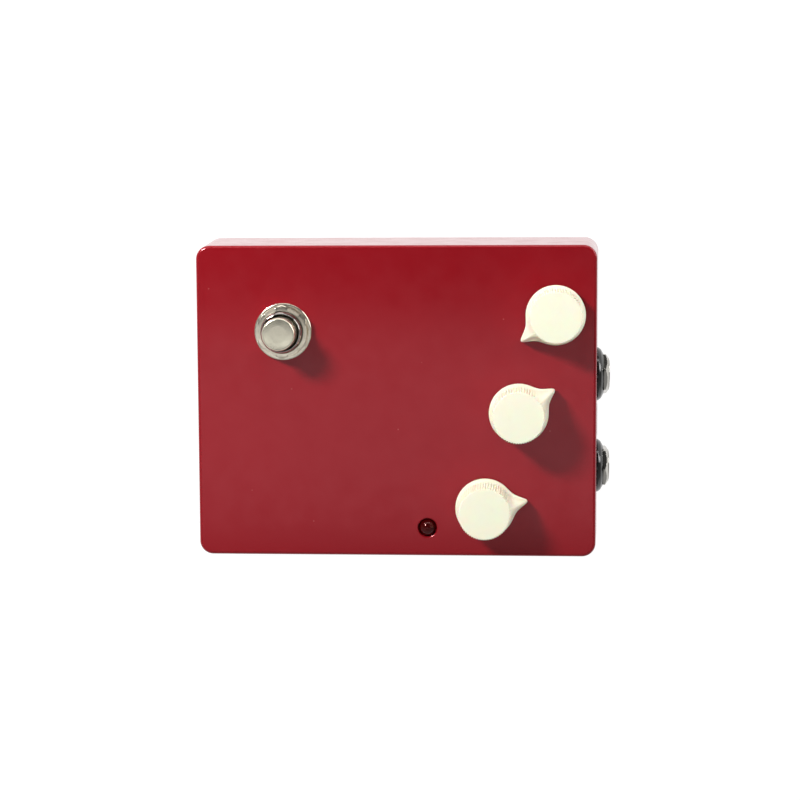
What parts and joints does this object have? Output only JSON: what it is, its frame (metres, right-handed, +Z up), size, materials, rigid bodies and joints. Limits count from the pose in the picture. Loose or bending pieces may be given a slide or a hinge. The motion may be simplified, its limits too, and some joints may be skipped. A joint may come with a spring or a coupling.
{
  "type": "guitar effects pedal",
  "caption": "Effects pedal in a drafted die-cast box with pointer knobs, a press footswitch, a status lamp and phone sockets on its rear wall.",
  "frame": {"origin": "on the surface under the rubber feet, below the middle of the whole part's box", "axes": "+Z up, +Y from the footswitch end to the rear wall with the sockets, +X to the player's right"},
  "size_m": [0.0942, 0.123, 0.0502],
  "materials": {
    "red_paint": "gloss powder coat with a slight orange peel",
    "cream_plastic": "satin moulded",
    "black_plastic": "moulded, semi-gloss",
    "blue_plastic": "moulded",
    "nickel": "bright nickel plate",
    "steel": "zinc plated",
    "brass": "turned",
    "rubber": "moulded",
    "red_lens": "clear dyed epoxy, unlit",
    "circuit_board": "solder mask",
    "capacitor_sleeve": "shrink sleeve",
    "ribbon": "flat cable insulation"
  },
  "bodies": {
    "enclosure": {"enclosure_shell": "red_paint", "base_plate": "red_paint", "amplifier_chip": "black_plastic", "circuit_board": "circuit_board", "filter_capacitor": "capacitor_sleeve", "footswitch_body": "blue_plastic", "footswitch_bushing": "nickel", "footswitch_nut": "nickel", "footswitch_spring": "steel", "footswitch_terminals": "brass", "footswitch_washer": "nickel", "lamp_lens": "red_lens", "lamp_anode_lead": "nickel", "lamp_cathode_lead": "nickel", "power_jack_body": "black_plastic", "power_jack_pin": "nickel", "switch_ribbon_cable": "ribbon", "lid_screw_1": "steel", "lid_screw_2": "steel", "lid_screw_3": "steel", "lid_screw_4": "steel", "lid_screw_5": "steel", "lid_screw_6": "steel", "rubber_foot_1": "rubber", "rubber_foot_2": "rubber", "rubber_foot_3": "rubber", "rubber_foot_4": "rubber", "pot_1_case": "steel", "pot_1_bushing": "steel", "pot_1_washer": "nickel", "pot_1_nut": "nickel", "pot_2_case": "steel", "pot_2_bushing": "steel", "pot_2_washer": "nickel", "pot_2_nut": "nickel", "pot_3_case": "steel", "pot_3_bushing": "steel", "pot_3_washer": "nickel", "pot_3_nut": "nickel", "input_jack_body": "black_plastic", "input_jack_bushing": "nickel", "input_jack_collar": "black_plastic", "input_jack_nut": "nickel", "output_jack_body": "black_plastic", "output_jack_bushing": "nickel", "output_jack_collar": "black_plastic", "output_jack_nut": "nickel"},
    "control_1": {"knob_1": "cream_plastic", "knob_1_insert": "brass", "knob_1_set_screw": "steel", "pot_1_shaft": "steel"},
    "control_2": {"knob_2": "cream_plastic", "knob_2_insert": "brass", "knob_2_set_screw": "steel", "pot_2_shaft": "steel"},
    "control_3": {"knob_3": "cream_plastic", "knob_3_insert": "brass", "knob_3_set_screw": "steel", "pot_3_shaft": "steel"},
    "switch_plunger": {"footswitch_button": "nickel"}
  },
  "joints": [
    {"name": "control_1_turn", "type": "hinge", "parent": "enclosure", "child": "control_1", "pos_m": [-0.0255, 0.0451, 0.038], "axis": [0, 0, -1], "range_deg": [-293.2, 6.8]},
    {"name": "control_2_turn", "type": "hinge", "parent": "enclosure", "child": "control_2", "pos_m": [0.0032, 0.03445, 0.038], "axis": [0, 0, -1], "range_deg": [-116.1, 183.9]},
    {"name": "control_3_turn", "type": "hinge", "parent": "enclosure", "child": "control_3", "pos_m": [0.0312, 0.02465, 0.038], "axis": [0, 0, -1], "range_deg": [-140.1, 159.9]},
    {"name": "footswitch_press", "type": "slide", "parent": "enclosure", "child": "switch_plunger", "axis": [0, 0, -1], "range_m": [0, 0.0035], "stiffness_N_per_m": 3000, "springref_m": -0.002, "deforming": ["footswitch_spring"]}
  ]
}
